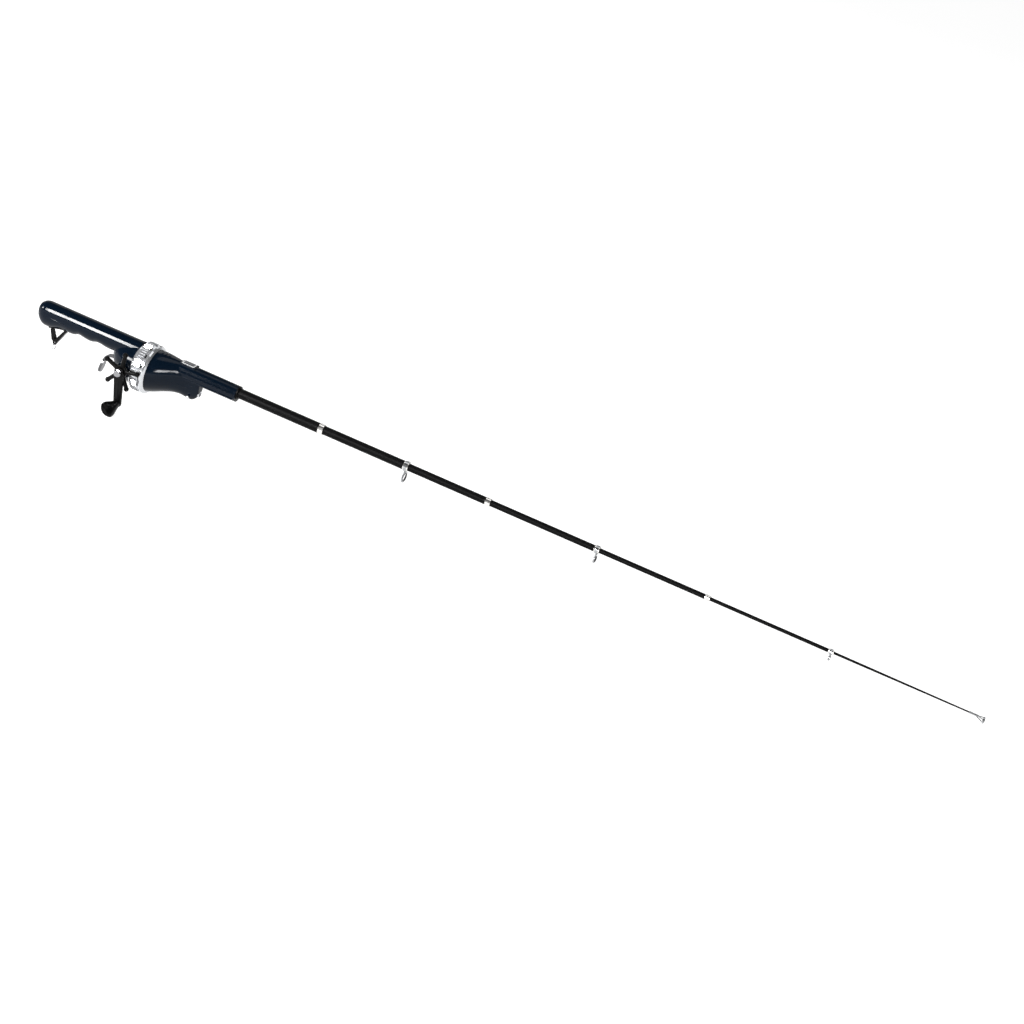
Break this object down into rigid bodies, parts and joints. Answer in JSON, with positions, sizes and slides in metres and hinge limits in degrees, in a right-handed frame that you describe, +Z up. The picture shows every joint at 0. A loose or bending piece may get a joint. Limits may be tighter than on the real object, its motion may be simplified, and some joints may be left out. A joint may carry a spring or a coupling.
{
  "type": "telescopic ice fishing rod",
  "caption": "Short telescopic fishing rod whose handle has a closed-face reel built in, with a side crank, star drag, finger trigger and line guides under the blank.",
  "frame": {"origin": "butt end of the handle, on the rod's axis", "axes": "+X along the rod from butt to tip, +Z up away from the reel and line guides, crank on the -Y side"},
  "size_m": [1.3001, 0.1057, 0.0821],
  "materials": {
    "navy_shell": "glossy dark navy ABS",
    "black_plastic": "satin black nylon",
    "black_metal": "black painted zinc",
    "bright_plating": "bright chrome plating",
    "ferrule_metal": "turned bright metal",
    "plate_metal": "bare brushed plate",
    "steel": "machined steel",
    "brass": "turned brass",
    "gear_alloy": "cast alloy",
    "trigger_metal": "satin grey metal",
    "white_acetal": "natural acetal",
    "rod_blank": "satin black lacquered glass fibre",
    "ceramic": "polished black ceramic"
  },
  "bodies": {
    "handle": {"handle_shell_left": "navy_shell", "handle_shell_right": "navy_shell", "handle_screws": "steel", "end_cap": "navy_shell", "storage_tube": "gear_alloy", "cover_ring": "bright_plating", "front_housing": "navy_shell", "name_plate": "plate_metal", "nose_collar": "black_plastic", "line_eyelet": "bright_plating", "snout_pin": "bright_plating", "bulkhead": "black_plastic", "main_bushes": "brass", "spool": "black_plastic", "crank_bushes": "brass", "trigger_pin": "steel", "trigger_spring": "steel", "lanyard_plate": "bright_plating", "lanyard_bracket": "black_plastic"},
    "crank": {"crank_shaft": "steel", "crown_gear": "gear_alloy", "drag_washers": "steel", "crank_arm": "black_metal", "crank_nut": "bright_plating", "knob_axle": "steel"},
    "star_wheel": {"star_drag": "black_plastic"},
    "knob": {"crank_knob": "black_plastic"},
    "rotor_shaft": {"main_shaft": "steel", "pinion": "brass", "rotor": "gear_alloy", "pickup_pin": "steel", "rotor_nut": "brass"},
    "trigger_lever": {"trigger": "trigger_metal"},
    "slider": {"release_slider": "white_acetal"},
    "ring_loop": {"lanyard_ring": "steel"},
    "rod_1": {"rod_section_1": "rod_blank", "ferrule_1": "ferrule_metal"},
    "rod_2": {"rod_section_2": "rod_blank", "ferrule_2": "ferrule_metal", "guide_frame_a": "bright_plating", "guide_ring_a": "ceramic"},
    "rod_3": {"rod_section_3": "rod_blank", "ferrule_3": "ferrule_metal"},
    "rod_4": {"rod_section_4": "rod_blank", "ferrule_4": "ferrule_metal", "guide_frame_b": "bright_plating", "guide_ring_b": "ceramic"},
    "rod_5": {"rod_section_5": "rod_blank", "ferrule_5": "ferrule_metal"},
    "rod_6": {"rod_section_6": "rod_blank", "ferrule_6": "ferrule_metal", "guide_frame_c": "bright_plating", "guide_ring_c": "ceramic"},
    "rod_7": {"rod_section_7": "rod_blank", "tip_top": "bright_plating", "tip_ring": "ceramic"}
  },
  "joints": [
    {"name": "rod_1_slide", "type": "slide", "parent": "handle", "child": "rod_1", "axis": [1, 0, 0], "range_m": [-0.1125, 0]},
    {"name": "rod_2_slide", "type": "slide", "parent": "rod_1", "child": "rod_2", "axis": [1, 0, 0], "range_m": [-0.111, 0]},
    {"name": "rod_3_slide", "type": "slide", "parent": "rod_2", "child": "rod_3", "axis": [1, 0, 0], "range_m": [-0.105, 0]},
    {"name": "rod_4_slide", "type": "slide", "parent": "rod_3", "child": "rod_4", "axis": [1, 0, 0], "range_m": [-0.14, 0]},
    {"name": "rod_5_slide", "type": "slide", "parent": "rod_4", "child": "rod_5", "axis": [1, 0, 0], "range_m": [-0.139, 0]},
    {"name": "rod_6_slide", "type": "slide", "parent": "rod_5", "child": "rod_6", "axis": [1, 0, 0], "range_m": [-0.153, 0]},
    {"name": "rod_7_slide", "type": "slide", "parent": "rod_6", "child": "rod_7", "axis": [1, 0, 0], "range_m": [-0.176, 0]},
    {"name": "crank_turn", "type": "hinge", "parent": "handle", "child": "crank", "pos_m": [0.1435, 0, -0.019], "axis": [0, -1, 0], "continuous": true},
    {"name": "rotor_spin", "type": "hinge", "parent": "handle", "child": "rotor_shaft", "pos_m": [0.1435, 0, -0.019], "axis": [1, 0, 0], "continuous": true},
    {"name": "star_drag_turn", "type": "hinge", "parent": "crank", "child": "star_wheel", "pos_m": [0.1435, -0.0366, -0.019], "axis": [0, -1, 0], "range_deg": [-135, 135]},
    {"name": "knob_spin", "type": "hinge", "parent": "crank", "child": "knob", "pos_m": [0.14935, -0.06, -0.06059], "axis": [0, -1, 0], "continuous": true},
    {"name": "trigger_pull", "type": "hinge", "parent": "handle", "child": "trigger_lever", "pos_m": [0.12, 0, -0.0245], "axis": [0, 1, 0], "range_deg": [0, 12], "stiffness_Nm_per_rad": 0.05, "springref_deg": -6.88},
    {"name": "slider_push", "type": "slide", "parent": "handle", "child": "slider", "axis": [1, 0, 0], "range_m": [0, 0.0021]},
    {"name": "lanyard_swing", "type": "hinge", "parent": "handle", "child": "ring_loop", "pos_m": [0.0272, 0, -0.0402], "axis": [0, 1, 0], "range_deg": [-50, 50]}
  ],
  "couplings": [
    {"joint": "rotor_spin", "follows": "crank_turn", "ratio": -2.8},
    {"joint": "slider_push", "follows": "trigger_pull", "m_per_rad": 0.0095}
  ]
}
